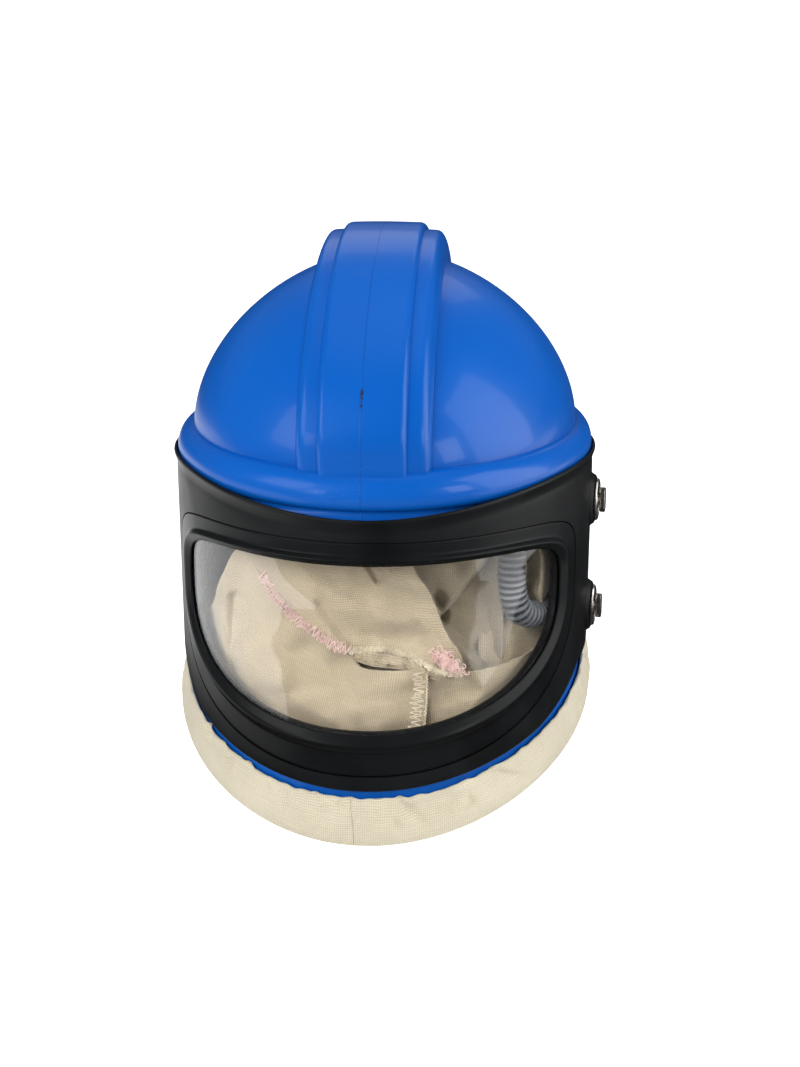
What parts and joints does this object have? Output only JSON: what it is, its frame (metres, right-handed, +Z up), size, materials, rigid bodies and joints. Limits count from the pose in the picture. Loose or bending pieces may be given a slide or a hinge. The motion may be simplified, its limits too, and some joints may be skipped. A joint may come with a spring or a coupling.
{
  "type": "sandblasting hood",
  "caption": "Rigid blue blasting hood with a raised comb, a black rubber window frame, a curved clear lens, metal turn-locks and a canvas cape tucked up inside.",
  "frame": {"origin": "bottom centre of the bounding box: the point on the ground under the middle of the standing hood", "axes": "+Z up, -Y the way the window faces, +X the wearer's left, where the turn-locks are"},
  "size_m": [0.2664, 0.3574, 0.2797],
  "materials": {
    "shell_plastic": "glossy moulded blue plastic with a fine mould seam along the comb",
    "frame_rubber": "satin black rubber",
    "gasket_rubber": "satin black rubber with a rolled lip",
    "lens_clear": "clear curved plastic sheet",
    "canvas": "unbleached cotton canvas, plain weave",
    "tube_plastic": "grey corrugated plastic",
    "disc_plastic": "dark moulded plastic",
    "lock_steel": "nickel-plated steel, lightly tarnished",
    "knob_steel": "nickel-plated steel, worn dark on its sides",
    "rivet_steel": "plain domed steel"
  },
  "bodies": {
    "hood": {"shell": "shell_plastic", "window_frame": "frame_rubber", "window_gasket": "gasket_rubber", "lens": "lens_clear", "cape_collar": "canvas", "cape_body": "canvas", "breathing_tube": "tube_plastic", "side_disc": "disc_plastic", "lock_upper_plate": "lock_steel", "frame_rivet_upper": "rivet_steel", "lock_lower_plate": "lock_steel", "frame_rivet_lower": "rivet_steel"},
    "upper_knob": {"lock_upper_knob": "knob_steel"},
    "lower_knob": {"lock_lower_knob": "knob_steel"}
  },
  "joints": [
    {"name": "lock_upper_turn", "type": "hinge", "parent": "hood", "child": "upper_knob", "pos_m": [0.12683, 0.00482, 0.12118], "axis": [0.9816, -0.1851, 0.0462], "range_deg": [0, 90]},
    {"name": "lock_lower_turn", "type": "hinge", "parent": "hood", "child": "lower_knob", "pos_m": [0.12683, -0.01164, 0.0552], "axis": [0.9816, -0.1851, 0.0462], "range_deg": [0, 90]}
  ]
}
